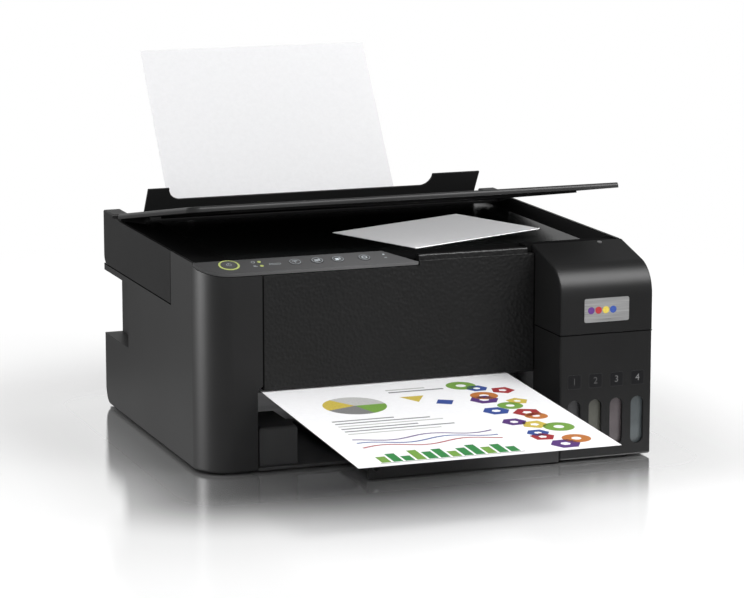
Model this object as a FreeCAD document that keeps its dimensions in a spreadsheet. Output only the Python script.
import FreeCAD, Part
import math
import os
import Sketcher
from FreeCAD import Placement, Rotation, Vector

# Desktop ink-tank printer with a flatbed scanner, in millimetres.
# Drawn from the plane of its tank front: X to the right, Y to the rear, Z up from the desk.

DIMENSIONS = {
    # Whole machine
    "width": 375,
    "depth": 346,
    "wall_top": 174,
    "foot_height": 2,
    "wall": 2.5,
    "rib": 2,
    "fit_gap": 0.3,
    "run_gap": 0.05,
    "edge_round": 1.5,
    "origin_depth": 129,
    # Base pan and feet
    "pan_rim": 12,
    "sill_depth": 10,
    "guide_block_gap": 3,
    "guide_block_setback": 6,
    "guide_block_width": 33,
    "guide_block_depth": 60,
    "guide_block_height": 32,
    "guide_block_round": 3,
    "runner_inset": 4,
    "runner_width": 4,
    "runner_height": 1.7,
    "foot_reach": 8,
    "foot_inset": 22,
    "foot_front_inset": 24,
    "foot_tank_setback": 18,
    # Front
    "panel_setback": 54,
    "corner_radius": 28,
    "bottom_round": 2,
    "column_width": 52.2,
    "column_foot_width": 47.5,
    "column_foot_height": 68.5,
    "column_return": 20,
    "seam_gap": 0.6,
    "outlet_height": 69,
    "outlet_lip": 14,
    "lip_drop": 6,
    "lip_gap": 1,
    "lip_bar_height": 5,
    "lip_bar_depth": 6,
    "lip_bar_inset": 6,
    "lip_bar_setback": 2,
    # Scanner seam and hand grips
    "seam_height": 129,
    "seam_setback": 140,
    "grip_bottom": 66,
    "grip_seam_gap": 6,
    "grip_length": 75,
    "grip_depth": 16,
    "rear_round": 16,
    # Rear cover
    "crown_height": 30,
    "inlet_inset": 51.5,
    "inlet_width": 24,
    "inlet_bottom": 16,
    "inlet_height": 16,
    "port_inset": 23.5,
    "port_width": 14,
    "port_bottom": 78,
    "port_height": 12,
    "vent_inset": 70,
    "vent_width": 3,
    "vent_pitch": 7,
    "vent_bottom": 56,
    "vent_height": 26,
    # Control strip
    "strip_front_drop": 6.4,
    "strip_angle": 16,
    "strip_depth": 24,
    "strip_thickness": 3,
    "strip_slant": 24,
    "power_inset": 28.5,
    "power_radius": 6.9,
    "power_up": 15.4,
    "ring_width": 1.5,
    "network_inset": 84.5,
    "mono_inset": 103.6,
    "colour_inset": 121.6,
    "stop_inset": 144.6,
    "button_radius": 5,
    "button_up": 13.6,
    "button_proud": 0.5,
    "button_play": 0.3,
    "button_stroke_gap": 1.2,
    "light_radius": 1.5,
    "light_inset": 55,
    "light_low": 10.7,
    "light_high": 18.2,
    "light_play": 0.1,
    "board_drop": 8,
    "board_thickness": 1.6,
    "board_left": 23,
    "board_right": 160,
    "board_margin": 2,
    "board_space": 20,
    "board_post": 4,
    # Ink tanks and their cover
    "tank_width": 83,
    "tank_seam": 108,
    "tank_round": 2,
    "cover_radius": 28,
    "cover_slope": 14,
    "cover_slope_drop": 15,
    "cover_wall": 2.2,
    "cover_rear": 62,
    "cover_side_rise": 6,
    "cover_pivot_inset": 2.5,
    "cover_pivot_drop": 6,
    "cover_pin_radius": 1.2,
    "cover_lug_radius": 2.4,
    "cover_lug_thickness": 3.4,
    "cover_lug_gap": 0.4,
    "cover_lug_post": 18,
    "cover_lug_foot": 8,
    "cover_lug_spread": 4,
    "window_width": 11.4,
    "window_bottom": 12,
    "window_height": 40,
    "tank_pitch": 19.1,
    "tank_gap": 1,
    "tank_body_width": 17.6,
    "tank_body_depth": 46,
    "tank_body_height": 88,
    "neck_radius": 6,
    "neck_height": 9,
    "cap_radius": 7.6,
    "cap_height": 8,
    "cap_tab": 4,
    "shelf_rise": 4.5,
    # Paper and its path
    "sheet_margin": 28.5,
    "sheet_length": 279,
    "sheet_thickness": 0.3,
    "feed_angle": 33.7,
    "feed_foot_inset": 69,
    "feed_foot_drop": 99,
    "feed_left": 60.5,
    "feeder_inset": 35.5,
    "feeder_plate": 2.5,
    "feeder_start": 10,
    "feeder_top": 118,
    "feeder_gap": 0.8,
    "cheek_height": 6,
    "cheek_step": 46,
    "cheek_cut": 13,
    "print_angle": 2.53,
    "print_reach": 174,
    "print_reach_height": 57.3,
    "print_left": 51.5,
    "original_width": 148,
    "original_depth": 105,
    "original_turn": 22,
    "original_inset": 100,
    "original_rear_inset": 126,
    # Feeder guard, guide, support and pick roller
    "guard_inset": 10,
    "guard_drop": 2,
    "guard_lean": 20,
    "guard_rise": 14,
    "guard_ear_rise": 25.5,
    "guard_left_inset": 34,
    "guard_right_inset": 25.5,
    "guard_ear_left": 21.5,
    "guard_ear_right": 43,
    "guard_ear_round": 11.5,
    "guard_ear_foot": 10,
    "guard_ear_flare": 3,
    "guard_plate": 2,
    "guard_rod_radius": 2,
    "guard_lug_inset": 42,
    "guard_lug_width": 6,
    "guard_lug_radius": 3.4,
    "guard_bar_gap": 5,
    "guard_bar_depth": 5,
    "guard_bar_height": 9,
    "guide_height": 9,
    "guide_start": 36,
    "guide_length": 52,
    "guide_foot_inset": 8,
    "guide_foot_reach": 7,
    "support_half_width": 62,
    "support_start": 60,
    "support_top": 215,
    "support_round": 10,
    "pick_radius": 14,
    "pick_length": 40,
    "pick_along": 25,
    "pick_gap": 0.5,
    # Print mechanism
    "frame_gap": 33,
    "frame_sheet": 1.5,
    "frame_seam_gap": 5,
    "frame_end_gap": 14,
    "bracket_left_inset": 46.5,
    "bracket_right_inset": 69.5,
    "bracket_top": 71,
    "bracket_front": 10,
    "feed_roller_setback": 182,
    "exit_roller_setback": 85,
    "roller_radius": 5,
    "roller_end": 3,
    "sleeve_length": 14,
    "shaft_radius": 3,
    "roller_height": 63.2,
    "gear_teeth": 40,
    "gear_thickness": 6,
    "gear_clearance": 0.3,
    "gear_gap": 2,
    "stub_radius": 2,
    "pinion_teeth": 12,
    "pinion_angle": 60,
    "motor_radius": 12.5,
    "motor_seat": 16,
    "axle_radius": 1.5,
    "platen_top": 66,
    "platen_depth": 6,
    "platen_front": 10,
    "platen_rear": 8,
    "platen_leg": 8,
    "platen_leg_front": 28,
    "platen_leg_rear": 12,
    "platen_rib_inset": 10,
    "wheel_radius": 5,
    "wheel_thickness": 1.5,
    "wheel_gap": 1.6,
    "wheel_bar_rise": 12,
    "wheel_bar_depth": 10,
    "wheel_bar_thickness": 3,
    "wheel_hanger": 4,
    "carriage_width": 74,
    "carriage_park_inset": 49.5,
    "carriage_front": 130,
    "carriage_bottom": 75,
    "carriage_seam_gap": 8,
    "carriage_wall": 3,
    "carriage_pocket": 24,
    "carriage_clamp": 16,
    "head_inset": 10,
    "head_depth": 35,
    "head_drop": 3,
    "rail_gap": 25,
    "rail_height": 95,
    "rail_lip": 8,
    "rail_sheet": 2,
    "rail_inset": 47.5,
    "pulley_inset": 29.5,
    "pulley_radius": 5,
    "belt_thickness": 1,
    "belt_seam_gap": 19,
    "belt_width": 6,
    "belt_offset": 9,
    "belt_clear": 1.5,
    "idler_arm": 10,
    "drive_can_radius": 8.5,
    "drive_can_bottom": 30,
    "drive_can_gap": 5,
    "drive_post": 12,
    # Service parts
    "station_gap": 5,
    "station_width": 42,
    "station_depth": 56,
    "station_drop": 5,
    "station_step": 3,
    "station_sled": 14,
    "station_rim": 4,
    "waste_left_inset": 37.5,
    "waste_right_inset": 127.5,
    "waste_gap": 18,
    "waste_rear_gap": 14,
    "waste_height": 28,
    "main_board_bottom": 34,
    "main_board_top": 112,
    "main_board_gap": 12,
    "main_board_rear_gap": 8,
    "socket_depth": 17,
    "supply_left_inset": 87.5,
    "supply_right_inset": 27.5,
    "supply_height": 43.5,
    "supply_gap": 18,
    "supply_rear_gap": 11.5,
    # Output tray
    "tray_margin": 76,
    "tray_length": 190,
    "tray_thickness": 2.5,
    "tray_rise": 2,
    "tray_bar_top": 11.5,
    "tray_bar_depth": 5,
    "tray_bar_drop": 0.5,
    "tray_thumb_radius": 4,
    "tray_thumb_inset": 7,
    "stopper_width": 70,
    "stopper_setback": 9,
    "stopper_reach": 37,
    "stopper_thickness": 2,
    # Scanner unit and lid
    "scanner_hinge_round": 8,
    "scanner_pin_radius": 3,
    "scanner_lug_gap": 6,
    "scanner_lug": 4,
    "scanner_lug_reach": 5,
    "scanner_lug_drop": 12,
    "scanner_front_gap": 4,
    "scanner_rear_inset": 44,
    "scanner_ledge": 20,
    "scanner_ledge_gap": 6,
    "arm_inset": 15,
    "arm_rear_gap": 2,
    "barrel_gap": 0.5,
    "cap_gap": 11,
    "cap_rise": 3,
    "deck_drop": 3.5,
    "deck_thickness": 2.8,
    "deck_rear_inset": 34,
    "deck_slope": 20,
    "deck_slope_drop": 0.5,
    "deck_land": 15,
    "deck_land_drop": 1.5,
    "glass_left_inset": 37.5,
    "glass_right_inset": 24.5,
    "glass_front": 92,
    "glass_rear_inset": 46,
    "glass_thickness": 1.5,
    "glass_ledge": 4,
    "glass_gap": 0.2,
    "scan_rod_radius": 3,
    "scan_rod_rise": 11,
    "scan_bar_inset": 8,
    "scan_bar_width": 16,
    "scan_bar_rise": 17,
    "scan_bar_gap": 1.5,
    "scan_bar_end": 5,
    "scan_shoe_reach": 4,
    "scan_shoe_drop": 5,
    "lid_thickness": 4.5,
    "lid_skin": 1.8,
    "lid_edge": 3,
    "lid_gap": 0.5,
    "lid_round": 2.8,
    "lid_corner": 10,
    "lid_rear_inset": 44,
    "lid_left_front": 80,
    "lid_right_front": 66,
    "lid_hinge_inset": 41,
    "lid_hinge_drop": 5,
    "lid_hinge_radius": 8,
    "lid_pin_radius": 3,
    "lid_arm_gap": 0.5,
    "lid_barrel_extra": 9,
    "lid_open": 10.2,
    "mat_thickness": 2,
    "mat_margin": 2,
}


class Size:
    """A length that knows its value and the sheet formula it comes from."""

    def __init__(self, value, formula):
        self.value = float(value)
        self.formula = formula

    def joined(self, other, sign, value):
        return Size(value, f"({self.formula} {sign} {other.formula})")

    def __add__(self, other):
        other = as_size(other)
        return self.joined(other, "+", self.value + other.value)

    def __sub__(self, other):
        other = as_size(other)
        return self.joined(other, "-", self.value - other.value)

    def __mul__(self, other):
        other = as_size(other)
        return self.joined(other, "*", self.value * other.value)

    def __truediv__(self, other):
        other = as_size(other)
        return self.joined(other, "/", self.value / other.value)

    def __neg__(self):
        return self * -1

    def __radd__(self, other):
        return as_size(other) + self

    def __rsub__(self, other):
        return as_size(other) - self

    def __rmul__(self, other):
        return as_size(other) * self


def as_size(number):
    return number if isinstance(number, Size) else Size(number, repr(float(number)))


def wave(name, function, angle):
    return Size(function(math.radians(angle.value)), f"{name}({angle.formula} * 1 deg)")


def sin(angle):
    return wave("sin", math.sin, angle)


def cos(angle):
    return wave("cos", math.cos, angle)


def tan(angle):
    return wave("tan", math.tan, angle)


def root(square):
    return Size(math.sqrt(square.value), f"sqrt({square.formula})")


class Sheet:
    """The driving dimensions, one spreadsheet row each, read as named sizes."""

    def __init__(self, document, rows):
        self.cells = document.addObject("Spreadsheet::Sheet", "sizes")
        for number, (name, value) in enumerate(rows.items(), start=1):
            self.cells.set(f"A{number}", name)
            self.cells.set(f"B{number}", str(value))
            self.cells.setAlias(f"B{number}", name)
        document.recompute()

    def __getattr__(self, name):
        return Size(self.cells.get(name), f"sizes.{name}")


doc = FreeCAD.newDocument("printer")
size = Sheet(doc, DIMENSIONS)
half = size.width / 2
datum = Placement(Vector(0, -size.origin_depth.value, 0), Rotation())
nodes = []


def bind(item, **sizes):
    for name, value in sizes.items():
        item.setExpression(name.replace("__", "."), as_size(value).formula)
    return item


def block(x, y, z):
    """A box between two sizes on each axis."""
    item = doc.addObject("Part::Box", "block")
    bind(item, Length=x[1] - x[0], Width=y[1] - y[0], Height=z[1] - z[0])
    return bind(item, Placement__Base__x=x[0], Placement__Base__y=y[0], Placement__Base__z=z[0])


AXIS_TURNS = {
    "X": Rotation(Vector(0, 1, 0), 90),
    "Y": Rotation(Vector(1, 0, 0), -90),
    "Z": Rotation(),
}


def rod(axis, start, radius, length):
    """A round bar that runs from a point along one axis."""
    item = doc.addObject("Part::Cylinder", "rod")
    item.Placement = Placement(Vector(), AXIS_TURNS[axis])
    bind(item, Radius=radius, Height=length)
    x, y, z = start
    return bind(item, Placement__Base__x=x, Placement__Base__y=y, Placement__Base__z=z)


def fuse(*items):
    item = doc.addObject("Part::MultiFuse", "fuse")
    item.Shapes = list(items)
    item.Refine = True
    return item


def cut(base, *tools):
    item = doc.addObject("Part::Cut", "cut")
    item.Base = base
    item.Tool = tools[0] if len(tools) == 1 else fuse(*tools)
    return item


def group(*items):
    item = doc.addObject("Part::Compound", "group")
    item.Links = list(items)
    return item


def arc_between(start, end, radius):
    """The shorter arc between two points, always drawn so that it turns left."""
    chord = end - start
    middle = (start + end) / 2
    rise = math.sqrt(max(radius**2 - (chord.Length / 2) ** 2, 0))
    left = Vector(-chord.y, chord.x, 0).normalize()
    through = middle + left * (rise - radius)
    return Part.Arc(start, through, end)


def draw(body, plane, outline, start):
    """A closed, fully sized sketch: corners (u, v), or (u, v, r) at the end of an arc of radius r.

    An arc turns left where its radius is positive and right where it is negative.
    """
    sketch = body.newObject("Sketcher::SketchObject", "outline")
    face = [item for item in body.Origin.OriginFeatures if item.Role == f"{plane}_Plane"][0]
    sketch.AttachmentSupport = [(face, "")]
    sketch.MapMode = "FlatFace"
    sign = -1 if plane == "XZ" else 1
    bind(sketch, AttachmentOffset__Base__z=sign * as_size(start))
    corners = [[as_size(number) for number in corner] for corner in outline]
    points = [Vector(corner[0].value, corner[1].value, 0) for corner in corners]
    ends = []
    for number, corner in enumerate(corners):
        before, after = points[number - 1], points[number]
        bend = corner[2].value if len(corner) == 3 else 0
        if bend > 0:
            sketch.addGeometry(arc_between(before, after, bend))
        elif bend < 0:
            sketch.addGeometry(arc_between(after, before, -bend))
        else:
            sketch.addGeometry(Part.LineSegment(before, after))
        ends.append(1 if bend < 0 else 2)
    for number in range(len(corners)):
        follower = (number + 1) % len(corners)
        joint = Sketcher.Constraint("Coincident", number, ends[number], follower, 3 - ends[follower])
        sketch.addConstraint(joint)
    for number, corner in enumerate(corners):
        for kind, wanted in (("DistanceX", corner[0]), ("DistanceY", corner[1])):
            rule = Sketcher.Constraint(kind, -1, 1, number, ends[number], wanted.value)
            index = sketch.addConstraint(rule)
            sketch.setExpression(f"Constraints[{index}]", wanted.formula)
        if len(corner) == 3:
            reach = corner[2] if corner[2].value > 0 else -corner[2]
            index = sketch.addConstraint(Sketcher.Constraint("Radius", number, reach.value))
            sketch.setExpression(f"Constraints[{index}]", reach.formula)
    return sketch


def prism(plane, outline, span):
    """A body padded from an outline, between two sizes along the plane's normal axis."""
    body = doc.addObject("PartDesign::Body", "prism")
    sketch = draw(body, plane, outline, span[0])
    pad = body.newObject("PartDesign::Pad", "pad")
    pad.Profile = sketch
    pad.Reversed = plane == "XZ"
    bind(pad, Length=span[1] - span[0])
    return body


def rounded(item, radius, chosen):
    """Rounds the edges that a test picks."""
    doc.recompute()
    numbers = [number for number, edge in enumerate(item.Shape.Edges, start=1) if chosen(edge)]
    fillet = doc.addObject("Part::Fillet", "rounded")
    fillet.Base = item
    fillet.Edges = [(number, radius.value, radius.value) for number in numbers]
    return fillet


def upright(edge):
    box = edge.BoundBox
    return box.ZLength > 0.9 * edge.Length


def node(label, item, placement=datum):
    """Registers a finished sub-part under the name of its file."""
    if item.TypeId in ("Part::Box", "Part::Cylinder"):
        item = group(item)
    item.Label = label
    item.Placement = placement
    nodes.append(item)
    return item


def hinged(angle, setback, height):
    """The datum, turned about a line along X through a point of the side view."""
    pivot = Vector(0, setback.value, height.value)
    turn = Placement(Vector(), Rotation(Vector(1, 0, 0), angle), pivot)
    return datum.multiply(turn)


def inclined(angle, setback, height):
    """The datum, moved to a point of the side view and turned there about X."""
    local = Placement(Vector(0, setback.value, height.value), Rotation(Vector(1, 0, 0), angle))
    return datum.multiply(local)


# Shared places

inner = half - size.wall
tank_left = half - size.tank_width
column_right = -half + size.column_width
foot_right = -half + size.column_foot_width
pan_half = inner - size.fit_gap
arm_inner = inner - size.arm_inset
feeder_half = half - size.feeder_inset
sheet_width = tank_left - foot_right - size.sheet_margin
glass_left = size.glass_left_inset - half
glass_right = half - size.glass_right_inset
glass_rear = size.depth - size.glass_rear_inset
floor = size.foot_height
floor_top = floor + size.wall
seam_top = size.seam_height + size.fit_gap
grip_top = size.seam_height - size.grip_seam_gap
lip_top = size.wall_top - size.lip_drop
deck_top = size.wall_top - size.deck_drop
lid_bottom = size.wall_top + size.lid_gap
lid_top = lid_bottom + size.lid_thickness
scanner_y = size.depth - size.scanner_hinge_round
scanner_z = seam_top + size.scanner_hinge_round
scanner_rear = size.depth - size.scanner_rear_inset
lid_y = size.depth - size.lid_hinge_inset
lid_z = size.wall_top - size.lid_hinge_drop
guard_y = size.depth - size.guard_inset
guard_z = size.wall_top - size.guard_drop
strip_front = size.wall_top - size.strip_front_drop
strip_rear = size.panel_setback + size.strip_depth * cos(size.strip_angle)
strip_drop = size.strip_thickness / cos(size.strip_angle)
cover_y = size.cover_rear - size.cover_pivot_inset
cover_z = size.wall_top - size.cover_pivot_drop
cover_start = size.wall_top - size.cover_slope_drop
cover_rise = cover_start + size.cover_rear * tan(size.cover_slope) - cover_z
cover_corner = root(size.cover_pivot_inset * size.cover_pivot_inset + cover_rise * cover_rise)
cover_swing = cover_corner + 2 * size.fit_gap
over = size.wall * 0.4
past = size.wall * 4
zero = as_size(0)


def sided(side, inside, outside):
    """A span on the right of the centre, or its mirror image on the left."""
    return (inside, outside) if side > 0 else (-outside, -inside)


# Base pan: floor, rim, tray runners, and the block beside the paper outlet

def base_pan():
    front = size.panel_setback + size.wall + size.fit_gap
    rear = size.depth - size.wall - size.fit_gap
    corner = size.corner_radius - size.wall - size.fit_gap
    tub = prism("XY", [
        (pan_half, front),
        (pan_half, rear),
        (-pan_half, rear),
        (-pan_half, front + corner),
        (corner - pan_half, front, corner),
    ], (floor, floor + size.pan_rim))
    hollow = block((size.rib - pan_half, pan_half - size.rib), (size.panel_setback, rear - size.rib),
                   (floor_top, floor + size.pan_rim + past))
    column_slot = block((foot_right - size.wall - size.fit_gap, foot_right + size.fit_gap),
                        (front - over, size.panel_setback + size.column_return + size.fit_gap),
                        (floor - over, floor_top + over))
    sill_rear = size.panel_setback + size.sill_depth
    outlet_sill = block((foot_right + size.fit_gap, tank_left - size.fit_gap),
                        (size.panel_setback, sill_rear), (floor, floor_top))
    tank_floor = block((tank_left + size.wall + size.fit_gap, pan_half),
                       (size.wall + size.fit_gap, sill_rear), (floor, floor_top))
    guide_left = foot_right + size.guide_block_gap
    guide_front = size.panel_setback + size.guide_block_setback
    guide_top = floor_top + size.guide_block_height
    guide_block = rounded(
        block((guide_left, guide_left + size.guide_block_width),
              (guide_front, guide_front + size.guide_block_depth), (floor_top, guide_top)),
        size.guide_block_round,
        lambda edge: edge.BoundBox.ZMin > guide_top.value - 0.1,
    )
    tray_left = foot_right + size.tray_margin
    runner_lefts = (tray_left + size.runner_inset, tank_left - size.runner_inset - size.runner_width)
    runners = [
        block((left, left + size.runner_width), (sill_rear - over, size.tray_length),
              (floor_top, floor_top + size.runner_height))
        for left in runner_lefts
    ]
    node("base_pan", fuse(cut(tub, hollow, column_slot), outlet_sill, tank_floor, guide_block, *runners))


# Feet: four eight-sided rubber pads under the pan

PAD_SIDES = 8


def feet():
    reach = size.foot_reach
    nip = reach * tan(as_size(180 / PAD_SIDES))
    across = half - size.foot_inset
    rear = size.depth - size.foot_inset
    pads = []
    for x, y in (
        (-across, size.panel_setback + size.foot_front_inset),
        (across, size.foot_tank_setback),
        (-across, rear),
        (across, rear),
    ):
        pads.append(prism("XY", [
            (x + nip, y - reach),
            (x + reach, y - nip),
            (x + reach, y + nip),
            (x + nip, y + reach),
            (x - nip, y + reach),
            (x - reach, y + nip),
            (x - reach, y - nip),
            (x - nip, y - reach),
        ], (zero, floor)))
    node("feet", group(*pads))


# Side housings with the scooped hand grip at the rear

def grip_cut(side):
    """The space that the grip takes out of a side wall."""
    return block(sided(side, half - size.grip_depth, half + past),
                 (size.depth - size.grip_length, size.depth + past), (size.grip_bottom, grip_top))


def grip_scoop(side):
    """The curved liner of the grip: a floor, a ceiling and a wall that sweeps in towards the rear."""
    front = size.depth - size.grip_length
    sweep = size.grip_length / 2
    deep = half - size.grip_depth
    skin = size.wall
    # An arc through both ends of the sweep, level with the wall at its deep end
    radius = (size.grip_depth * size.grip_depth + sweep * sweep) / (2 * size.grip_depth)
    wall = prism("XY", [
        (side * half, front - skin),
        (side * half, front),
        (side * deep, front + sweep, -side * radius),
        (side * deep, size.depth),
        (side * (deep - skin), size.depth),
        (side * (deep - skin), front + sweep - skin),
        (side * (half - skin), front - skin, side * radius),
    ], (size.grip_bottom - skin, grip_top + skin))
    shelves = [
        block(sided(side, deep - skin, half), (front - skin, size.depth), (low, low + skin))
        for low in (size.grip_bottom - skin, grip_top)
    ]
    return [wall, *shelves]


def rear_bottom_round(side):
    """What the rounded rear foot of a side wall loses."""
    reach = size.rear_round
    x = sided(side, inner - over, half + over)
    corner = block(x, (size.depth - reach, size.depth + over), (floor - over, floor + reach))
    round_bar = rod("X", (x[0], size.depth - reach, floor + reach), reach, x[1] - x[0])
    return cut(corner, round_bar)


def scanner_space(side):
    """The part of a side wall that belongs to the scanner unit."""
    return block(sided(side, half - past, half + past), (size.seam_setback, size.depth + past),
                 (size.seam_height, size.wall_top + past))


def strip_space():
    """The wedge above the sloping seat of the control strip."""
    low = strip_front - strip_drop - size.fit_gap
    front = size.panel_setback
    rear = strip_rear + size.strip_thickness * sin(size.strip_angle) + size.fit_gap
    return prism("YZ", [
        (front - past, low - past * tan(size.strip_angle)),
        (rear, low + (rear - front) * tan(size.strip_angle)),
        (rear, size.wall_top + past),
        (front - past, size.wall_top + past),
    ], (-half - past, half))


def left_housing():
    front = size.panel_setback
    radius = size.corner_radius
    back = front + size.column_return
    shell = prism("XY", [
        (column_right, front),
        (column_right, back),
        (foot_right - size.wall, back),
        (foot_right - size.wall, front + size.wall),
        (radius - half, front + size.wall),
        (-inner, front + radius, -(radius - size.wall)),
        (-inner, size.depth),
        (-half, size.depth),
        (-half, front + radius),
        (radius - half, front, radius),
    ], (floor, size.wall_top))

    def outer_bottom(edge):
        box = edge.BoundBox
        at_side = box.XMin < -half.value + 0.01 and box.YMin < size.depth.value - 0.01
        at_front = box.YMin < front.value + 0.01 and box.XLength > 0.01
        return box.ZMax < floor.value + 0.01 and (at_side or at_front)

    shell = rounded(shell, size.bottom_round, outer_bottom)
    foot_top = size.column_foot_height
    foot_space = prism("XZ", [
        (foot_right, floor - over),
        (column_right + over, floor - over),
        (column_right + over, foot_top + column_right + over - foot_right),
        (foot_right, foot_top),
    ], (front - over, back + over))
    board_space = block((foot_right - size.wall - over, column_right + over),
                        (front + size.wall, back + over),
                        (strip_front - size.board_space, size.wall_top))
    shell = cut(shell, scanner_space(-1), strip_space(), grip_cut(-1), rear_bottom_round(-1), foot_space,
                board_space)
    node("left_housing", fuse(shell, *grip_scoop(-1)))


def cover_lug(x):
    """A post that carries one pin of the tank cover, shaped clear of the cover's swing."""
    reach = size.cover_lug_radius
    foot = cover_z - size.cover_lug_post
    spread = cover_y + reach + size.cover_lug_spread
    post = prism("YZ", [
        (cover_y + reach, cover_z),
        (cover_y - reach, cover_z, reach),
        (cover_y - reach, foot),
        (spread, foot),
        (spread, foot + size.cover_lug_foot),
        (cover_y + reach, foot + size.cover_lug_foot + size.cover_lug_spread),
    ], (x, x + size.cover_lug_thickness))
    bore = rod("X", (x - over, cover_y, cover_z), size.cover_pin_radius + size.run_gap,
               size.cover_lug_thickness + 2 * over)
    return cut(post, bore)


def right_housing():
    front = size.cover_rear + over
    shell = block((inner, half), (front, size.depth), (floor, size.wall_top))
    swing_space = block((inner - over, half + over), (size.cover_rear, cover_y + cover_swing),
                        (cover_z - cover_swing, size.wall_top + over))
    shell = cut(shell, scanner_space(1), grip_cut(1), rear_bottom_round(1), swing_space)
    lug = cover_lug(half - size.cover_wall - size.cover_lug_gap - size.cover_lug_thickness)
    foot = cover_z - size.cover_lug_post
    lug_root = block((inner - over, inner + over), (front, front + size.cover_lug_thickness),
                     (foot, foot + size.cover_lug_foot))
    node("right_housing", fuse(shell, *grip_scoop(1), lug, lug_root))


# Rear cover with its sockets, vents and the scanner's hinge lugs

inlet_x = (half - size.inlet_inset - size.inlet_width, half - size.inlet_inset)
inlet_z = (size.inlet_bottom, size.inlet_bottom + size.inlet_height)
port_x = (size.port_inset - half, size.port_inset + size.port_width - half)
port_z = (size.port_bottom, size.port_bottom + size.port_height)
VENT_COUNT = 9


def rear_cover():
    skin = size.wall
    low = floor_top + size.fit_gap
    wing = pan_half
    waist = half - size.grip_depth - skin - size.fit_gap
    waist_low = size.grip_bottom - skin - size.fit_gap
    waist_high = grip_top + skin + size.fit_gap
    top = size.seam_height - size.fit_gap
    right_side = [
        (wing, low),
        (wing, waist_low),
        (waist, waist_low),
        (waist, waist_high),
        (wing, waist_high),
        (wing, top),
        (feeder_half, top),
        (feeder_half, top + size.crown_height),
    ]
    left_side = [(-x, z) for x, z in reversed(right_side)]
    plate = prism("XZ", right_side + left_side, (size.depth - skin, size.depth))
    lug_outer = arm_inner - size.scanner_lug_gap
    lug_inner = lug_outer - size.scanner_lug
    reach = size.scanner_lug_reach
    lugs = []
    for side in (-1, 1):
        lugs.append(block(sided(side, lug_inner, lug_outer), (scanner_y - reach, size.depth - skin),
                          (top - size.scanner_lug_drop, scanner_z + reach)))
        pin = sided(side, lug_inner, arm_inner + size.wall)
        lugs.append(rod("X", (pin[0], scanner_y, scanner_z), size.scanner_pin_radius, pin[1] - pin[0]))
    through = (size.depth - past, size.depth + past)
    holes = [block(inlet_x, through, inlet_z), block(port_x, through, port_z)]
    for number in range(VENT_COUNT):
        left = half - size.vent_inset - number * size.vent_pitch
        holes.append(block((left, left + size.vent_width), through,
                           (size.vent_bottom, size.vent_bottom + size.vent_height)))
    node("rear_cover", cut(fuse(plate, *lugs), *holes))


# Front cover: panel, underside lip, and the raised bar in front of the scanner bed

def front_cover():
    left = column_right + size.seam_gap
    right = tank_left - size.fit_gap
    front = size.panel_setback
    back = front + size.wall
    panel_top = strip_front - strip_drop - size.fit_gap
    panel = block((left, right), (front, back), (size.outlet_height, panel_top))
    lower_lip = block((left, right), (front, front + size.outlet_lip),
                      (size.outlet_height, size.outlet_height + size.wall))
    upper = block((size.lip_gap, right), (front, back), (panel_top, lip_top))
    flange = block((size.lip_gap, right), (front, size.lid_right_front - 3 * size.lip_gap),
                   (lip_top - size.wall, lip_top))
    bar_front = front + size.lip_bar_setback
    bar = rounded(
        block((size.lip_gap, right - size.lip_bar_inset), (bar_front, bar_front + size.lip_bar_depth),
              (lip_top, lip_top + size.lip_bar_height)),
        size.edge_round,
        lambda edge: edge.BoundBox.ZMin > lip_top.value + 0.1 and edge.BoundBox.XLength > 1,
    )
    lug_left = tank_left + size.cover_wall + size.cover_lug_gap
    foot = cover_z - size.cover_lug_post
    lug_root = block((right - past / 2, lug_left + over), (back, back + size.cover_lug_spread),
                     (foot, foot + size.cover_lug_foot))
    node("front_cover", fuse(panel, lower_lip, upper, flange, bar, lug_root, cover_lug(lug_left)))


# Control strip: inclined plate, light ring, lamps, buttons and the board under them

BUTTON_INSETS = {
    "network_button": size.network_inset,
    "mono_copy_button": size.mono_inset,
    "colour_copy_button": size.colour_inset,
    "stop_button": size.stop_inset,
}
strip_frame = inclined(size.strip_angle.value, size.panel_setback, strip_front)
power_x = size.power_inset - half
light_x = size.light_inset - half
ring_inner = size.power_radius + size.button_play
ring_outer = ring_inner + size.ring_width


def strip_rod(x, up, bottom, radius, top):
    return rod("Z", (x, up, bottom), radius, top - bottom)


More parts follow.
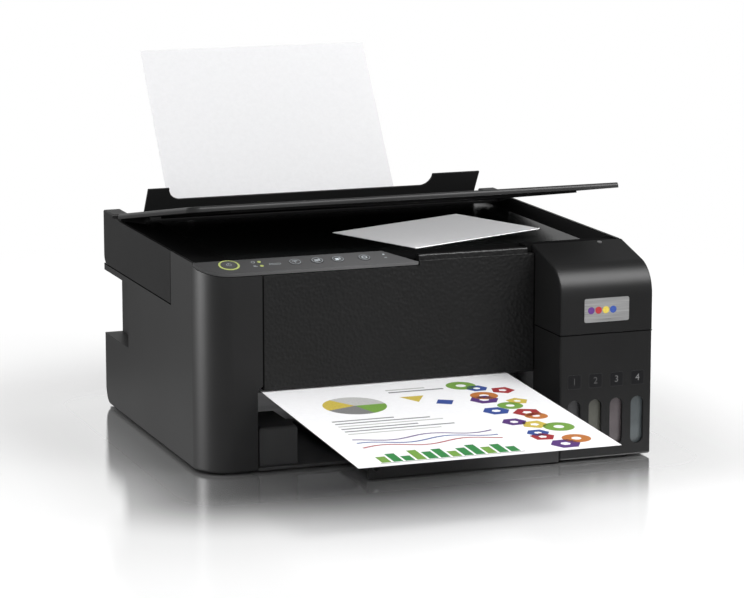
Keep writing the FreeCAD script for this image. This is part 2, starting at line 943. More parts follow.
def control_strip():
    """The plate in its own sloping frame: the plan outline of the corner, cut to a slab."""
    radius = size.corner_radius
    deep = size.strip_depth
    thick = size.strip_thickness
    below = -2 * thick
    # The corner's arc, seen square to the sloping plate
    short = radius - (strip_rear - size.panel_setback)
    bulge = root(radius * radius - short * short)
    plate = prism("XY", [
        (zero, zero),
        (-size.strip_slant, deep),
        (radius - half - bulge, deep),
        (radius - half, zero, radius),
    ], (-thick, zero))
    holes = [strip_rod(power_x, size.power_up, below, ring_outer + size.light_play, thick)]
    button_hole = size.button_radius + size.button_play
    for inset in BUTTON_INSETS.values():
        holes.append(strip_rod(inset - half, size.button_up, below, button_hole, thick))
    for up in (size.light_low, size.light_high):
        holes.append(strip_rod(light_x, up, below, size.light_radius + size.light_play, thick))
    board_x = (size.board_left - half, size.board_right - half)
    board_y = (size.board_margin, deep - size.board_margin)
    post = size.board_post
    posts = [
        block((x, x + post), (board_y[0], board_y[0] + post), (-size.board_drop, -thick))
        for x in (board_x[0] + post, board_x[1] - 2 * post)
    ]
    node("control_strip", fuse(cut(plate, *holes), *posts), strip_frame)

    board = block(board_x, board_y, (-size.board_drop - size.board_thickness, -size.board_drop))
    node("control_board", board, strip_frame)

    ring = cut(strip_rod(power_x, size.power_up, -thick, ring_outer, 2 * size.light_play),
               strip_rod(power_x, size.power_up, below, ring_inner, thick))
    lamps = [
        strip_rod(light_x, up, -thick, size.light_radius, size.light_play)
        for up in (size.light_low, size.light_high)
    ]
    node("status_lights", group(ring, *lamps), strip_frame)

    bottom = size.button_stroke_gap - size.board_drop
    node("power_button", strip_rod(power_x, size.power_up, bottom, size.power_radius, size.button_proud),
         strip_frame)
    for label, inset in BUTTON_INSETS.items():
        node(label, strip_rod(inset - half, size.button_up, bottom, size.button_radius, size.button_proud),
             strip_frame)


# Tank housing with its windows, the tanks, and their caps

TANK_COUNT = 4


def tank_centre(number):
    return tank_left + size.tank_width / 2 + (number - (TANK_COUNT - 1) / 2) * size.tank_pitch


def slot(x, width, bottom, height, span):
    """An upright slot with round ends, cut along Y."""
    radius = width / 2
    shaft = block((x - radius, x + radius), span, (bottom + radius, bottom + height - radius))
    ends = [
        rod("Y", (x, span[0], z), radius, span[1] - span[0])
        for z in (bottom + radius, bottom + height - radius)
    ]
    return fuse(shaft, *ends)


def tank_housing():
    rear = size.panel_setback + size.wall
    skin = size.wall
    shell = prism("XY", [
        (tank_left, zero),
        (half, zero),
        (half, size.cover_rear),
        (inner, size.cover_rear),
        (inner, skin),
        (tank_left + skin, skin),
        (tank_left + skin, rear),
        (tank_left, rear),
    ], (floor, size.tank_seam - size.fit_gap))

    def front_or_foot(edge):
        box = edge.BoundBox
        front_corner = upright(edge) and box.YMax < 0.01
        foot = box.ZMax < floor.value + 0.01
        outside = box.YMax < 0.01 or box.XMin > half.value - 0.01 or box.XMax < tank_left.value + 0.01
        return front_corner or (foot and outside)

    shell = rounded(shell, size.tank_round, front_or_foot)
    windows = [
        slot(tank_centre(number), size.window_width, size.window_bottom, size.window_height,
             (-past, skin + over))
        for number in range(TANK_COUNT)
    ]
    tops = floor_top + size.tank_body_height
    body_y = (skin + size.tank_gap, skin + size.tank_gap + size.tank_body_depth)
    neck_y = (body_y[0] + body_y[1]) / 2
    neck_top = tops + size.neck_height
    shelf_z = (tops + size.shelf_rise, tops + size.shelf_rise + size.rib)
    reach = size.neck_radius + size.fit_gap
    neck_slot = block((tank_centre(0) - reach, tank_centre(TANK_COUNT - 1) + reach),
                      (neck_y - reach, neck_y + reach), (shelf_z[0] - over, shelf_z[1] + over))
    shelf = cut(block((tank_left + skin, inner), (skin, rear), shelf_z), neck_slot)
    node("tank_housing", fuse(cut(shell, *windows), shelf))

    caps = []
    wide = size.tank_body_width / 2
    tab = size.cap_tab
    for number in range(TANK_COUNT):
        x = tank_centre(number)
        body = block((x - wide, x + wide), body_y, (floor_top, tops))
        neck = rod("Z", (x, neck_y, tops), size.neck_radius, size.neck_height)
        node(f"ink_tank_{number + 1}", fuse(body, neck))
        crown = rod("Z", (x, neck_y, neck_top), size.cap_radius, size.cap_height)
        pull = block((x - tab / 2, x + tab / 2), (neck_y, neck_y + size.cap_radius + tab),
                     (neck_top + size.cap_height - size.rib, neck_top + size.cap_height))
        caps.append(fuse(crown, pull))
    node("tank_caps", group(*caps))


# Tank cover: one curved sheet from the front to the top, closed at both ends

def cover_profile(inset, low):
    """The cover's side view, drawn in by a distance on its outer faces."""
    radius = size.cover_radius - inset
    slope = size.cover_slope
    # Where the front line and the sloping line would meet
    meet = cover_start - inset / cos(slope) + inset * tan(slope)
    reach = radius * tan((90 - slope) / 2)
    rear = size.cover_rear - inset
    return [
        (inset, low),
        (rear, low),
        (rear, meet + (rear - inset) * tan(slope)),
        (inset + reach * cos(slope), meet + reach * sin(slope)),
        (inset, meet - reach, radius),
    ]


def tank_cover():
    seam = size.tank_seam
    thick = size.cover_wall
    outside = prism("YZ", cover_profile(zero, seam), (tank_left, half))

    def end_edge(edge):
        box = edge.BoundBox
        return box.XLength < 0.01 and box.ZMax > seam.value + 0.1 and box.YMin < size.cover_rear.value - 0.1

    outside = rounded(outside, size.edge_round, end_edge)
    hollow = prism("YZ", cover_profile(thick, seam - past), (tank_left + thick, half - thick))
    side_space = block((tank_left - past, half + past), (size.panel_setback + over, size.cover_rear + past),
                       (seam - past, cover_start + size.cover_side_rise))
    rear_space = block((tank_left + thick, half - thick),
                       (size.cover_rear - thick * 2, size.cover_rear + past),
                       (seam, cover_z + size.cover_lug_radius + 2 * size.fit_gap))
    shell = cut(outside, hollow, side_space, rear_space)
    pin_length = size.cover_lug_thickness + size.cover_lug_gap
    pins = [
        rod("X", (x, cover_y, cover_z), size.cover_pin_radius, pin_length)
        for x in (tank_left + thick, half - thick - pin_length)
    ]
    node("tank_cover", fuse(shell, *pins))


# Feeder: an inclined paper rest with cheeks, in the frame of the waiting sheet

feed_frame = inclined(-size.feed_angle.value, size.depth - size.feed_foot_inset,
                      size.wall_top - size.feed_foot_drop)
feed_left = size.feed_left - half
pick_normal = -(size.pick_radius + size.pick_gap)


def feeder():
    plate = size.feeder_plate
    reach = feeder_half
    face = size.feeder_gap
    rest = block((-reach, reach), (face, face + plate), (size.feeder_start, size.feeder_top))
    cheeks = []
    for left in (-reach, reach - plate):
        x = (left, left + plate)
        rim = size.cheek_height
        cheeks.append(block(x, (pick_normal - rim, face), (size.feeder_start, size.cheek_step)))
        cheeks.append(block(x, (-rim, face), (size.cheek_step, size.feeder_top - size.cheek_cut)))
    bores = rod("X", (-reach - past, pick_normal, size.pick_along), size.shaft_radius + size.run_gap,
                2 * (reach + past))
    node("feeder_frame", cut(fuse(rest, *cheeks), bores), feed_frame)

    shaft = rod("X", (-reach, pick_normal, size.pick_along), size.shaft_radius, 2 * reach)
    tyre = rod("X", (-size.pick_length / 2, pick_normal, size.pick_along), size.pick_radius,
               size.pick_length)
    node("pick_roller", fuse(shaft, tyre), feed_frame)

    middle = feed_left + sheet_width / 2
    leaf_front = face + plate + size.fit_gap

    def top_corner(edge):
        return edge.Length < size.rib.value + 0.1 and edge.BoundBox.ZMin > size.support_top.value - 0.1

    leaf = rounded(
        block((middle - size.support_half_width, middle + size.support_half_width),
              (leaf_front, leaf_front + size.rib), (size.support_start, size.support_top)),
        size.support_round,
        top_corner,
    )
    node("paper_support", leaf, feed_frame)

    fence = feed_left - size.pick_gap
    fence_end = size.guide_start + size.guide_length
    wall = block((fence - size.rib, fence), (-size.guide_height, size.pick_gap),
                 (size.guide_start, fence_end))
    foot = block((fence - size.guide_foot_reach, fence - over), (-size.edge_round, size.pick_gap),
                 (size.guide_start + size.guide_foot_inset, fence_end - size.guide_foot_inset))
    node("edge_guide", fuse(wall, foot), feed_frame)

    thick = size.sheet_thickness / 2
    sheet = block((feed_left, feed_left + sheet_width), (-thick, thick), (zero, size.sheet_length))
    node("feed_sheet", sheet, feed_frame)


guard_lugs = (size.guard_lug_inset - feeder_half, feeder_half - size.guard_lug_inset)


def feeder_guard():
    """A flap with a tall ear at each end, leaning forward over the feed slot."""
    left = size.guard_left_inset - half
    right = half - size.guard_right_inset
    foot = size.guard_ear_foot
    thick = size.guard_plate / 2
    flap = prism("XZ", [
        (left, zero),
        (right, zero),
        (right + size.guard_ear_flare, size.guard_ear_rise),
        (right - size.guard_ear_right, size.guard_ear_rise),
        (right - size.guard_ear_right - foot, size.guard_rise, -size.guard_ear_round),
        (left + size.guard_ear_left + foot, size.guard_rise),
        (left + size.guard_ear_left, size.guard_ear_rise, -size.guard_ear_round),
        (left + size.guard_plate, size.guard_ear_rise),
    ], (-thick, thick))
    bar = rod("X", (left, zero, zero), size.guard_rod_radius, right - left)
    wide = size.guard_lug_width / 2 + size.fit_gap
    deep = size.guard_lug_radius + over
    notches = [
        block((x - wide, x + wide), (-deep, deep), (size.guard_rod_radius - size.guard_plate / 10, deep))
        for x in guard_lugs
    ]
    node("feeder_guard", cut(fuse(flap, bar), *notches), inclined(size.guard_lean.value, guard_y, guard_z))


def guard_bar():
    """The fixed bar in front of the feed slot, with the eyes that carry the guard."""
    reach = feeder_half - size.feeder_plate
    bar_rear = guard_y - size.guard_bar_gap
    bar_top = guard_z - size.rib
    eye = size.guard_lug_radius
    wide = size.guard_lug_width / 2
    bar = block((-reach, reach), (bar_rear - size.guard_bar_depth, bar_rear),
                (bar_top - size.guard_bar_height, bar_top))
    lugs = []
    for x in guard_lugs:
        lugs.append(rod("X", (x - wide, guard_y, guard_z), eye, 2 * wide))
        lugs.append(block((x - wide, x + wide), (bar_rear - over, guard_y), (guard_z - eye, bar_top + over)))
    hole = rod("X", (-reach, guard_y, guard_z), size.guard_rod_radius + size.run_gap, 2 * reach)
    node("guard_bar", cut(fuse(bar, *lugs), hole))


# Printed sheet lying out of the front, and a small original on the glass

def loose_sheets():
    thick = size.sheet_thickness / 2
    left = size.print_left - half
    sheet = block((left, left + sheet_width), (zero, size.sheet_length), (-thick, thick))
    print_frame_spot = inclined(size.print_angle.value, -size.print_reach, size.print_reach_height)
    node("printed_sheet", sheet, print_frame_spot)

    wide = size.original_width / 2
    deep = size.original_depth / 2
    low = deck_top + size.run_gap
    original = block((-wide, wide), (-deep, deep), (low, low + size.sheet_thickness))
    x = glass_right - size.original_inset
    y = glass_rear - size.original_rear_inset
    turned = Placement(Vector(x.value, y.value, 0), Rotation(Vector(0, 0, 1), size.original_turn.value))
    node("scan_original", original, datum.multiply(turned))


# Print mechanism: bent frame, rollers, gear train, platen and wheel bar

bracket_left = size.bracket_left_inset - half
bracket_right = half - size.bracket_right_inset
frame_left = size.frame_end_gap - pan_half
rail_half = half - size.rail_inset
pulley_x = half - size.pulley_inset
frame_y = size.feed_roller_setback + size.frame_gap
rail_y = frame_y - size.rail_gap
belt_y = frame_y - size.belt_offset
belt_low = size.seam_height - size.belt_seam_gap
belt_top = belt_low + size.belt_width
gear_radius = (size.feed_roller_setback - size.exit_roller_setback) / 4
gear_module = 2 * gear_radius / size.gear_teeth
gear_left = bracket_left - size.frame_sheet - size.gear_gap - size.gear_thickness
idler_setback = size.exit_roller_setback + 2 * gear_radius
pinion_reach = gear_radius + gear_module * size.pinion_teeth / 2
pinion_setback = size.feed_roller_setback + pinion_reach * cos(size.pinion_angle)
pinion_height = size.roller_height + pinion_reach * sin(size.pinion_angle)
WHEEL_COUNT = 4
RIB_COUNT = 11


def print_frame():
    y = frame_y
    sheet = size.frame_sheet
    top = size.seam_height - size.frame_seam_gap
    back = block((frame_left, rail_half), (y, y + sheet), (floor_top, top))
    bracket_y = (size.exit_roller_setback - size.bracket_front, y)
    brackets = [
        block((x, x + sheet), bracket_y, (floor_top, size.bracket_top))
        for x in (bracket_left - sheet, bracket_right)
    ]
    bores = [
        rod("X", (-half, setback, size.roller_height), size.shaft_radius + size.run_gap, 2 * half)
        for setback in (size.feed_roller_setback, size.exit_roller_setback)
    ]
    stub = rod("X", (gear_left, idler_setback, size.roller_height), size.stub_radius,
               bracket_left - gear_left)
    seat = size.motor_seat / 2
    motor_seat = block((frame_left, gear_left - size.gear_gap), (pinion_setback + size.motor_radius, y),
                       (pinion_height - seat, pinion_height + seat))
    arm = size.idler_arm / 2
    arm_top = belt_low - size.belt_clear - over
    idler_arm = block((-pulley_x - arm, arm - pulley_x), (belt_y - arm / 2, y), (arm_top - arm, arm_top))
    idler_pin = rod("Z", (-pulley_x, belt_y, arm_top - arm), size.axle_radius, belt_top - arm_top + arm)
    node("print_frame", fuse(cut(fuse(back, *brackets), *bores), stub, motor_seat, idler_arm, idler_pin))


def gear(teeth, bore, turn):
    """A spur gear about the X axis: one tooth on a hub, repeated round it, turned by part of a pitch."""
    pitch_radius = gear_module * teeth / 2
    root_radius = pitch_radius - 1.25 * gear_module
    tip = pitch_radius + 0.9 * gear_module
    half_root = gear_module * (math.pi / 3) - size.gear_clearance
    half_tip = gear_module * (math.pi / 9)
    body = doc.addObject("PartDesign::Body", "gear")
    hub = body.newObject("PartDesign::AdditiveCylinder", "hub")
    bind(hub, Radius=root_radius, Height=size.gear_thickness)
    sketch = draw(body, "XY", [
        (root_radius - gear_module, -half_root),
        (tip, -half_tip),
        (tip, half_tip),
        (root_radius - gear_module, half_root),
    ], zero)
    tooth = body.newObject("PartDesign::Pad", "tooth")
    tooth.Profile = sketch
    bind(tooth, Length=size.gear_thickness)
    ring = body.newObject("PartDesign::PolarPattern", "teeth")
    ring.Originals = [tooth]
    axis = [item for item in body.Origin.OriginFeatures if item.Role == "Z_Axis"][0]
    ring.Axis = (axis, [""])
    ring.Angle = 360
    ring.Occurrences = int(round(teeth.value))
    body.Tip = ring
    hole = rod("Z", (zero, zero, -over), bore, size.gear_thickness + 2 * over)
    turned = Rotation(Vector(0, 1, 0), 90).multiply(Rotation(Vector(0, 0, 1), turn))
    return cut(body, hole), turned


def gear_node(label, teeth, bore, setback, height, turn):
    wheel, turned = gear(teeth, bore, turn)
    spot = Placement(Vector(gear_left.value, setback.value, height.value), turned)
    node(label, wheel, datum.multiply(spot))


def exit_spots():
    """The middles of the exit roller's sleeves, under the wheels that press on them."""
    pitch = (bracket_right - bracket_left) / WHEEL_COUNT
    return [bracket_left + (number + 0.5) * pitch for number in range(WHEEL_COUNT)]


def rollers():
    left = gear_left - over
    right = bracket_right + size.frame_sheet + size.roller_end
    z = size.roller_height
    reach = size.sleeve_length / 2
    for label, setback, lands in (
        ("feed_roller", size.feed_roller_setback,
         [(bracket_left + size.roller_end, bracket_right - size.roller_end)]),
        ("exit_roller", size.exit_roller_setback, [(x - reach, x + reach) for x in exit_spots()]),
    ):
        shaft = rod("X", (left, setback, z), size.shaft_radius, right - left)
        sleeves = [rod("X", (start, setback, z), size.roller_radius, end - start) for start, end in lands]
        node(label, fuse(shaft, *sleeves))
    half_pitch = 180 / size.gear_teeth.value
    shaft_bore = size.shaft_radius + size.run_gap
    gear_node("feed_gear", size.gear_teeth, shaft_bore, size.feed_roller_setback, z, 0)
    gear_node("idler_gear", size.gear_teeth, size.stub_radius + size.run_gap, idler_setback, z, half_pitch)
    gear_node("exit_gear", size.gear_teeth, shaft_bore, size.exit_roller_setback, z, 0)


def feed_motor():
    """Stepper motor whose pinion meshes with the feed gear."""
    # The pinion's gap that faces the gear is set on the gear's next tooth past the line of centres
    angle = size.pinion_angle.value
    passed = (angle + 90) / 360 * size.gear_teeth.value
    ahead = math.ceil(passed) - passed
    turn = angle + 270 + (180 - ahead * 360) / size.pinion_teeth.value
    gear_node("motor_pinion", size.pinion_teeth, size.axle_radius, pinion_setback, pinion_height, turn)
    face = gear_left - size.gear_gap
    can = rod("X", (frame_left, pinion_setback, pinion_height), size.motor_radius, face - frame_left)
    shaft = rod("X", (face, pinion_setback, pinion_height), size.axle_radius - size.run_gap,
                size.gear_thickness + size.gear_gap)
    node("feed_motor", fuse(can, shaft))


def platen():
    skin = size.rib
    x = (bracket_left + over, bracket_right - over)
    front = size.exit_roller_setback + size.platen_front
    rear = size.feed_roller_setback - size.platen_rear
    top = size.platen_top
    low = top - size.platen_depth
    bed = cut(block(x, (front, rear), (low, top)),
              block((x[0] + skin, x[1] - skin), (front + skin, rear - skin), (low - over, top - skin)))
    leg_y = (front + size.platen_leg_front, rear - size.platen_leg_rear)
    legs = [
        block((left, left + size.platen_leg), leg_y, (floor_top, top - over))
        for left in (x[0], x[1] - size.platen_leg)
    ]
    first = x[0] + size.platen_rib_inset
    pitch = (x[1] - size.platen_rib_inset - skin - first) / (RIB_COUNT - 1)
    ribs = [
        block((first + number * pitch, first + number * pitch + skin), (front + 2 * skin, rear - 2 * skin),
              (top - over, top + skin))
        for number in range(RIB_COUNT)
    ]
    node("platen", fuse(bed, *legs, *ribs))


def wheel_bar():
    """Bar of thin wheels that hold the print down at the exit roller."""
    y = size.exit_roller_setback
    skin = size.rib
    reach = size.wheel_bar_depth / 2
    contact = size.roller_height + size.roller_radius
    bar_low = contact + over + size.wheel_bar_rise
    bar = block((bracket_left, bracket_right), (y - reach, y + reach),
                (bar_low, bar_low + size.wheel_bar_thickness))
    foot = size.roller_height + size.shaft_radius + size.edge_round
    ends = [
        block((left, left + skin), (y - reach, y + reach), (foot, bar_low))
        for left in (bracket_left, bracket_right - skin)
    ]
    axle = contact + size.wheel_gap + size.wheel_radius
    hang = size.wheel_hanger / 2
    wheels = []
    for x in exit_spots():
        wheels.append(rod("X", (x, y, axle), size.wheel_radius, size.wheel_thickness))
        wheels.append(block((x - skin, x), (y - hang, y + hang), (axle - over, bar_low)))
    node("wheel_bar", fuse(bar, *ends, *wheels))


# Carriage, its rail, belt, pulleys and motor

carriage_x = half - size.carriage_park_inset


def carriage():
    reach = size.carriage_width / 2
    skin = size.carriage_wall
    x = (carriage_x - reach, carriage_x + reach)
    front = size.carriage_front
    bottom = size.carriage_bottom
    top = size.seam_height - size.carriage_seam_gap
    belt_front = belt_y - size.pulley_radius - size.run_gap - size.belt_thickness
    rear = belt_front - size.belt_clear
    shell = block(x, (front, rear), (bottom, top))
    hook_space = block((x[0] - over, x[1] + over), (rail_y - size.fit_gap, rear + over),
                       (bottom - over, size.rail_height + size.rail_lip + size.fit_gap))
    pocket = block((x[0] + skin, x[1] - skin), (front + skin, rail_y - 4 * skin),
                   (top - size.carriage_pocket, top + over))
    clamp = size.carriage_clamp / 2
    belt_clamp = block((carriage_x - clamp, carriage_x + clamp), (rear - over, belt_front - size.fit_gap),
                       (belt_low - over, belt_top + over))
    node("carriage", fuse(cut(shell, hook_space, pocket), belt_clamp))
    inset = size.head_inset
    head = block((x[0] + inset, x[1] - inset), (front + inset, front + inset + size.head_depth),
                 (bottom - size.head_drop, bottom))
    node("print_head", head)


def carriage_drive():
    y = rail_y
    z = size.rail_height
    sheet = size.rail_sheet
    flange = block((-rail_half, rail_half), (y, frame_y), (z, z + sheet))
    lip = block((-rail_half, rail_half), (y, y + sheet), (z, z + size.rail_lip))
    node("carriage_rail", fuse(flange, lip))

    inside = size.pulley_radius + size.run_gap
    loops = []
    for radius, low, high in (
        (inside + size.belt_thickness, belt_low, belt_top),
        (inside, belt_low - over, belt_top + over),
    ):
        loops.append(prism("XY", [
            (pulley_x, belt_y - radius),
            (pulley_x + radius, belt_y, radius),
            (pulley_x, belt_y + radius, radius),
            (-pulley_x, belt_y + radius),
            (-pulley_x - radius, belt_y, radius),
            (-pulley_x, belt_y - radius, radius),
        ], (low, high)))
    node("drive_belt", cut(*loops))

    drum_low = belt_low - size.belt_clear
    drum_length = size.belt_width + 2 * size.belt_clear
    for label, x in (("idler_pulley", -pulley_x), ("drive_pulley", pulley_x)):
        drum = rod("Z", (x, belt_y, drum_low), size.pulley_radius, drum_length)
        bore = rod("Z", (x, belt_y, drum_low - over), size.axle_radius + size.run_gap,
                   drum_length + 2 * over)
        node(label, cut(drum, bore))

    can_low = floor_top + size.drive_can_bottom
    can_top = size.carriage_bottom - size.drive_can_gap
    reach = size.drive_post / 2
    can = rod("Z", (pulley_x, belt_y, can_low), size.drive_can_radius, can_top - can_low)
    shaft = rod("Z", (pulley_x, belt_y, can_low), size.axle_radius, belt_top - can_low)
    post = block((pulley_x - reach, pulley_x + reach), (belt_y - reach, belt_y + reach),
                 (floor_top, can_low))
    node("carriage_motor", fuse(can, shaft, post))


# Service parts: capping station, waste ink box, main board and power supply

def service_parts():
    skin = size.rib
    gap = size.fit_gap
    front = size.carriage_front - size.station_gap
    rear = front + size.station_depth
    left = bracket_right + size.frame_sheet + size.station_gap
    right = left + size.station_width
    top = size.carriage_bottom - size.head_drop - size.station_drop
    step = size.station_step
    low_top = top - size.station_sled
    base = cut(block((left, right), (front, rear), (floor_top, low_top)),
               block((left + skin, right - skin), (front + skin, rear - skin),
                     (floor_top - over, low_top - skin)))
    sled = block((left + step, right - step), (front + 2 * step, rear - step), (low_top - over, top))
    rim_x = (left + 2 * step, right - 3 * step)
    rim_y = (front + 4 * step, rear - 3 * step)
    rim = cut(block(rim_x, rim_y, (top - over, top + size.station_rim)),
              block((rim_x[0] + step, rim_x[1] - step), (rim_y[0] + step, rim_y[1] - step),
                    (top + over, top + size.station_rim + over)))
    node("capping_station", fuse(base, sled, rim))

    waste_x = (size.waste_left_inset - half, half - size.waste_right_inset)
    waste_y = (frame_y + size.waste_gap, size.depth - size.waste_rear_gap)
    waste_top = floor_top + size.waste_height
    middle = (waste_x[0] + waste_x[1]) / 2
    pads = [
        block(x, (waste_y[0] + skin, waste_y[1] - skin), (floor_top + skin, waste_top + over))
        for x in ((waste_x[0] + skin, middle - skin / 2), (middle + skin / 2, waste_x[1] - skin))
    ]
    node("waste_ink_box", cut(block(waste_x, waste_y, (floor_top, waste_top)), *pads))

    board_x = port_x[0] + gap
    socket_x = (board_x, port_x[1] - gap)
    socket_z = (port_z[0] + gap, port_z[1] - gap)
    board = block((board_x - size.board_thickness, board_x),
                  (frame_y + size.main_board_gap, size.depth - size.main_board_rear_gap),
                  (size.main_board_bottom, size.main_board_top))
    socket_front = size.depth - over - size.socket_depth
    socket = cut(block(socket_x, (socket_front, size.depth - over), socket_z),
                 block((socket_x[0] + skin, socket_x[1] - skin),
                       (socket_front + past / 2, size.depth + over),
                       (socket_z[0] + skin, socket_z[1] - skin)))
    node("main_board", fuse(board, socket))

    case_x = (half - size.supply_left_inset, half - size.supply_right_inset)
    case_y = (frame_y + size.supply_gap, size.depth - size.supply_rear_gap)
    case_top = floor_top + size.supply_height
    case = cut(block(case_x, case_y, (floor_top, case_top)),
               block((case_x[0] + skin, case_x[1] - skin), (case_y[0] + skin, case_y[1] - 2 * skin),
                     (floor_top - over, case_top - skin)))
    mouth_x = (inlet_x[0] + gap, inlet_x[1] - gap)
    mouth_z = (inlet_z[0] + gap, inlet_z[1] - gap)
    inlet = block(mouth_x, (case_y[1] - over, size.depth - over), mouth_z)
    mouth = block((mouth_x[0] + skin, mouth_x[1] - skin), (case_y[1] + over, size.depth + over),
                  (mouth_z[0] + skin, mouth_z[1] - skin))
    node("power_supply", cut(fuse(case, inlet), mouth))


# Output tray and its stopper

def output_tray():
    x = (foot_right + size.tray_margin, tank_left - 2 * size.fit_gap)
    low = floor_top + size.tray_rise
    bar_top = size.tray_bar_top
    leaf = block(x, (size.rib, size.tray_length), (low, low + size.tray_thickness))

    def front_edge(edge):
        box = edge.BoundBox
        return box.ZMin > bar_top.value - 0.1 or (upright(edge) and box.XMax < x[0].value + 0.1)

    bar = rounded(block(x, (zero, size.tray_bar_depth), (floor - size.tray_bar_drop, bar_top)),
                  size.edge_round, front_edge)
    thumb = rod("Y", (x[0] + size.tray_thumb_inset, -over, bar_top), size.tray_thumb_radius, past + past)
    node("output_tray", cut(fuse(leaf, bar), thumb))
    top = low + size.tray_thickness + size.fit_gap
    left = (x[0] + x[1] - size.stopper_width) / 2
    y = size.stopper_setback
    radius = size.stopper_thickness / 2
    flap = block((left, left + size.stopper_width), (y, y + size.stopper_reach),
                 (top, top + size.stopper_thickness))
    barrel = rod("X", (left, y, top + radius), radius, size.stopper_width)
    node("tray_stopper", fuse(flap, barrel))


# Scanner unit: case with side panels, deck with the glass, and the scan bar

left_barrel = arm_inner + size.rib - size.lid_barrel_extra
right_barrel = arm_inner + size.rib
barrel_front = lid_y - size.lid_hinge_radius - size.barrel_gap
glass_middle = (size.glass_front + glass_rear) / 2


def scanner_case():
    low = seam_top
    skin = size.rib
    front = size.lid_left_front + size.scanner_front_gap
    arm_top = lid_z - size.lid_hinge_radius - over
    arm_rear = size.depth - size.arm_rear_gap
    shell_top = deck_top - size.deck_thickness
    barrel_room = [
        block(sided(side, barrel - size.barrel_gap, pan_half + over), (barrel_front, scanner_rear + over),
              (arm_top, shell_top + over))
        for side, barrel in ((-1, left_barrel), (1, right_barrel))
    ]
    shell = cut(
        block((-pan_half, pan_half), (front, scanner_rear), (low, shell_top)),
        block((skin - pan_half, pan_half - skin), (front + skin, scanner_rear - skin),
              (low + skin, deck_top)),
        *barrel_room,
    )
    cap_front = lid_y + size.cap_gap
    cap_top = size.wall_top + size.cap_rise

    def cap_edges(edge):
        return edge.BoundBox.ZMin > cap_top.value - 0.1

    def lower_rear(rear, bottom):
        def chosen(edge):
            box = edge.BoundBox
            return box.YMin > rear.value - 0.1 and box.ZMax < bottom.value + 0.1 and box.XLength > 1
        return chosen

    pieces = [shell]
    for side in (-1, 1):
        panel = block(sided(side, inner, half), (size.seam_setback + size.fit_gap, size.depth),
                      (low, size.wall_top))
        pieces.append(rounded(panel, size.scanner_hinge_round, lower_rear(size.depth, low)))
        pieces.append(block(sided(side, pan_half - skin, inner),
                            (size.seam_setback + size.scanner_ledge_gap, scanner_rear),
                            (low, low + size.scanner_ledge)))
        arm = block(sided(side, arm_inner, arm_inner + size.wall), (scanner_rear - skin, arm_rear),
                    (low + over, arm_top))
        arm_round = size.scanner_hinge_round - size.arm_rear_gap
        pieces.append(rounded(arm, arm_round, lower_rear(arm_rear, low + over)))
        pieces.append(block(sided(side, arm_inner, inner), (scanner_rear - skin, scanner_rear),
                            (low, arm_top)))
        pieces.append(block(sided(side, arm_inner, inner), (arm_rear - size.wall, arm_rear),
                            (scanner_z + size.scanner_lug, arm_top)))
        cap_inner = arm_inner + skin
        corner = block(sided(side, cap_inner, half), (cap_front, size.depth), (arm_top - over, cap_top))
        cap = rounded(corner, size.edge_round, cap_edges)
        pieces.append(cut(cap, block(sided(side, cap_inner + skin, inner),
                                     (cap_front + skin, size.depth - size.wall),
                                     (arm_top - past, cap_top - size.wall))))
        pin_start = right_barrel + size.lid_arm_gap if side > 0 else left_barrel + size.lid_arm_gap
        pin = sided(side, pin_start, inner)
        pieces.append(rod("X", (pin[0], lid_y, lid_z), size.lid_pin_radius, pin[1] - pin[0]))
    bores = rod("X", (-inner, scanner_y, scanner_z), size.scanner_pin_radius + size.run_gap, 2 * inner)
    rail = rod("X", (over - pan_half, glass_middle, low + size.scan_rod_rise), size.scan_rod_radius,
               2 * (pan_half - over))
    node("scanner_case", fuse(cut(fuse(*pieces), bores), rail))


def scanner_deck():
    low = deck_top - size.deck_thickness
    top = deck_top
    left_front = size.lid_left_front - over
    cover_front = cover_y + cover_swing + size.fit_gap
    land_left = tank_left - size.lid_edge
    rear = size.depth - size.deck_rear_inset
    left_notch = size.barrel_gap - left_barrel
    right_notch = right_barrel - size.barrel_gap
    plate = prism("XY", [
        (-pan_half, left_front),
        (-size.strip_slant, left_front),
        (size.lip_gap, cover_front),
        (pan_half, cover_front),
        (pan_half, barrel_front),
        (right_notch, barrel_front),
        (right_notch, rear),
        (left_notch, rear),
        (left_notch, barrel_front),
        (-pan_half, barrel_front),
    ], (low, top))
    ledge = size.glass_ledge
    opening = block((glass_left + ledge, glass_right - ledge),
                    (size.glass_front + ledge, glass_rear - ledge), (low - over, top + over))
    rebate = block((glass_left, glass_right), (size.glass_front, glass_rear),
                   (top - size.glass_thickness, top + over))
    slope_top = size.wall_top - size.deck_slope_drop
    slopes = [
        prism("XZ", [
            (side * (pan_half - size.deck_slope), top),
            (side * pan_half, top),
            (side * pan_half, slope_top),
            (side * (pan_half - size.rib), slope_top),
        ], (size.lid_left_front + size.rib, barrel_front))
        for side in (-1, 1)
    ]
    land = block((land_left, pan_half), (cover_front, cover_front + size.deck_land),
                 (top - over, size.wall_top - size.deck_land_drop))
    node("scanner_deck", fuse(cut(plate, opening, rebate), *slopes, land))

    gap = size.glass_gap
    glass = block((glass_left + gap, glass_right - gap), (size.glass_front + gap, glass_rear - gap),
                  (top - size.glass_thickness, top))
    node("scan_glass", glass)


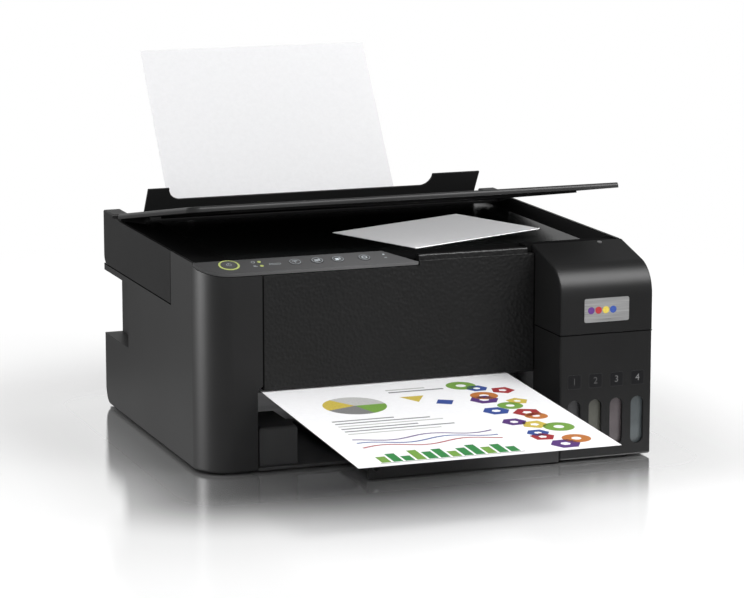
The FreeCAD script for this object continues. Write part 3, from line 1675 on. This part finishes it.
def scan_bar():
    left = glass_left + size.scan_bar_inset
    right = left + size.scan_bar_width
    low = seam_top + size.scan_bar_rise
    top = deck_top - size.deck_thickness - size.scan_bar_gap
    rail_z = seam_top + size.scan_rod_rise
    end = size.scan_bar_end
    reach = size.scan_shoe_reach
    sensor = block((left, right), (size.glass_front + end, glass_rear - end), (low, top))
    shoe = block((left - reach, right + reach), (glass_middle - 2 * reach, glass_middle + 2 * reach),
                 (rail_z - size.scan_shoe_drop, low + over))
    bore = rod("X", (left - 2 * reach, glass_middle, rail_z), size.scan_rod_radius + size.run_gap,
               size.scan_bar_width + 4 * reach)
    node("scan_bar", cut(fuse(sensor, shoe), bore))


# Lid: a thin leaf with a stepped front edge, ribbed underneath, its mat, and its hinge barrels

lid_frame = hinged(-size.lid_open.value, lid_y, lid_z)
POCKET_COLUMNS = 5
POCKET_ROWS = 3


def lid_pockets():
    """Pockets under the leaf that leave a rim and a grid of ribs."""
    edge = size.lid_edge
    x = (edge - half, half - edge)
    y = (size.lid_left_front + edge, size.depth - size.lid_rear_inset - edge)
    wide = (x[1] - x[0] + size.rib) / POCKET_COLUMNS
    deep = (y[1] - y[0] + size.rib) / POCKET_ROWS
    height = (lid_bottom - over, lid_top - size.lid_skin)
    pockets = []
    for column in range(POCKET_COLUMNS):
        for row in range(POCKET_ROWS):
            left = x[0] + column * wide
            front = y[0] + row * deep
            pockets.append(block((left, left + wide - size.rib), (front, front + deep - size.rib), height))
    return pockets


def lid():
    outer = inner - size.lid_arm_gap
    ear = lid_y - size.lid_hinge_radius
    rear = size.depth - size.lid_rear_inset
    leaf = prism("XY", [
        (-half, size.lid_left_front),
        (-size.strip_slant, size.lid_left_front),
        (zero, size.lid_right_front),
        (half, size.lid_right_front),
        (half, ear),
        (outer, ear),
        (outer, lid_y),
        (right_barrel, lid_y),
        (right_barrel, rear),
        (-left_barrel, rear),
        (-left_barrel, lid_y),
        (-outer, lid_y),
        (-outer, ear),
        (-half, ear),
    ], (lid_bottom, lid_top))

    def left_corner(edge):
        box = edge.BoundBox
        return upright(edge) and box.XMax < 0.01 - half.value and box.YMax < size.lid_left_front.value + 0.01

    def front_top(edge):
        box = edge.BoundBox
        rear_end = size.lid_left_front + size.lid_corner
        return box.ZMin > lid_top.value - 0.01 and box.YMax < rear_end.value + 0.01

    leaf = rounded(rounded(leaf, size.lid_corner, left_corner), size.lid_round, front_top)
    barrels = []
    holes = []
    for start, end in ((-outer, -left_barrel), (right_barrel, outer)):
        barrels.append(rod("X", (start, lid_y, lid_z), size.lid_hinge_radius, end - start))
        holes.append(rod("X", (start - over, lid_y, lid_z), size.lid_pin_radius + size.run_gap,
                         end - start + 2 * over))
    node("lid", cut(fuse(cut(leaf, *lid_pockets()), *barrels), *holes), lid_frame)
    margin = size.mat_margin
    mat = block((glass_left + margin, glass_right - margin),
                (size.glass_front + margin, glass_rear - margin),
                (lid_bottom - size.mat_thickness, lid_bottom))
    node("lid_mat", mat, lid_frame)


def build():
    base_pan()
    feet()
    left_housing()
    right_housing()
    rear_cover()
    front_cover()
    control_strip()
    tank_housing()
    tank_cover()
    feeder()
    feeder_guard()
    guard_bar()
    loose_sheets()
    print_frame()
    rollers()
    feed_motor()
    platen()
    wheel_bar()
    carriage()
    carriage_drive()
    service_parts()
    output_tray()
    scanner_case()
    scanner_deck()
    scan_bar()
    lid()


def check():
    doc.recompute()
    for item in doc.Objects:
        if "Invalid" in item.State or "Error" in item.State:
            raise RuntimeError(f"{item.Label} did not build: {item.State}")
    for item in nodes:
        if item.Shape.isNull() or not item.Shape.isValid() or not item.Shape.Solids:
            raise RuntimeError(f"{item.Label} is not a valid solid")


def write():
    os.makedirs("parts", exist_ok=True)
    for item in nodes:
        item.Shape.exportStep(f"parts/{item.Label}.step")


build()
check()
write()
